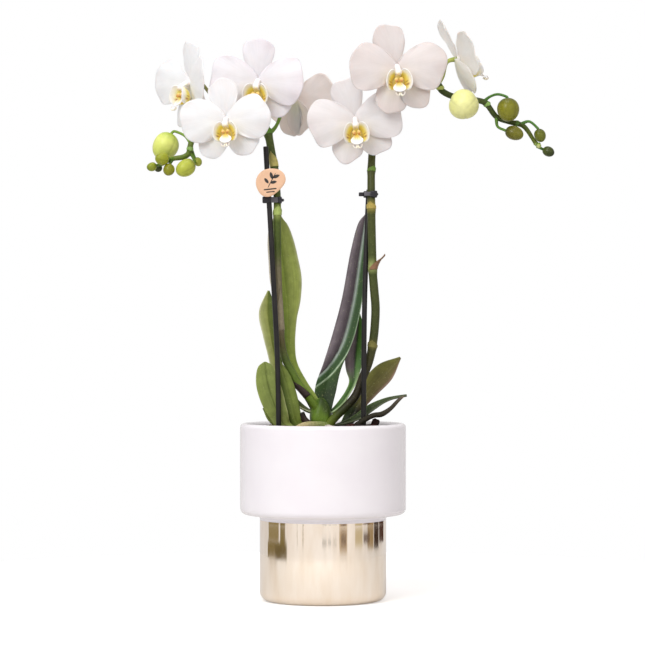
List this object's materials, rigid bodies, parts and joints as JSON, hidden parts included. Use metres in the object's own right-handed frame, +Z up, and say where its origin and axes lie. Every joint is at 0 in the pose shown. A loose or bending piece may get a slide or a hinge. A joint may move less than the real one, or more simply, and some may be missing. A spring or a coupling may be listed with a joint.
{
  "type": "potted orchid",
  "caption": "White moth orchid with arching flower spikes tied to stakes, buds and strap leaves, in a round two-tier glazed planter with a bright gold foot.",
  "frame": {"origin": "centre of the planter's flat foot, on the surface it stands on", "axes": "+Z up along the planter's axis; -Y is the front that most flowers face; +X is to the right seen from the front"},
  "size_m": [0.284, 0.116, 0.4059],
  "materials": {
    "planter_glaze": "clear glossy white glaze, with the lower tier in mirror-bright champagne gold lustre",
    "pot_plastic": "thin matt black nursery pot",
    "bark": "coarse dry orchid bark chips",
    "stake_plastic": "near-black satin plastic",
    "clip_plastic": "black moulded plastic",
    "tag_card": "uncoated peach card with a plain dark leaf print",
    "leaf_green": "living leaf: waxy green, darker or purplish underneath",
    "stem_green": "living flower stem: smooth mid green with paler nodes",
    "root_skin": "living aerial root: dull silvery green",
    "bud_green": "living flower bud: smooth yellow-green",
    "petal_white": "living petal: soft satin white, faintly translucent",
    "lip_yellow": "living flower lip: white and yellow with red-purple stripes"
  },
  "bodies": {
    "root": {"planter": "planter_glaze", "nursery_pot": "pot_plastic", "bark_bed": "bark", "stake_left": "stake_plastic", "stake_right": "stake_plastic", "clip_left": "clip_plastic", "clip_right": "clip_plastic", "tag_holder": "clip_plastic", "plant_tag": "tag_card", "crown": "leaf_green", "leaf_left_tall": "leaf_green", "leaf_right_tall": "leaf_green", "leaf_right_mid": "leaf_green", "leaf_left_back": "leaf_green", "leaf_left_low": "leaf_green", "leaf_left_inner": "leaf_green", "leaf_left_small": "leaf_green", "leaf_right_low": "leaf_green", "leaf_right_narrow": "leaf_green", "spike_left": "stem_green", "spike_right": "stem_green", "root_left": "root_skin", "root_right": "root_skin", "root_strand": "root_skin", "bud_left_1": "bud_green", "bud_left_2": "bud_green", "bud_left_3": "bud_green", "bud_left_4": "bud_green", "bud_left_5": "bud_green", "bud_left_6": "bud_green", "bud_left_7": "bud_green", "bud_right_1": "bud_green", "bud_right_2": "bud_green", "bud_right_3": "bud_green", "bud_right_4": "bud_green", "bud_right_5": "bud_green", "bud_right_6": "bud_green", "flower_1_sepals": "petal_white", "flower_1_petals": "petal_white", "flower_1_lip": "lip_yellow", "flower_2_sepals": "petal_white", "flower_2_petals": "petal_white", "flower_2_lip": "lip_yellow", "flower_3_sepals": "petal_white", "flower_3_petals": "petal_white", "flower_3_lip": "lip_yellow", "flower_4_sepals": "petal_white", "flower_4_petals": "petal_white", "flower_4_lip": "lip_yellow", "flower_5_sepals": "petal_white", "flower_5_petals": "petal_white", "flower_5_lip": "lip_yellow", "flower_6_sepals": "petal_white", "flower_6_petals": "petal_white", "flower_6_lip": "lip_yellow", "flower_7_sepals": "petal_white", "flower_7_petals": "petal_white", "flower_7_lip": "lip_yellow"}
  },
  "joints": []
}
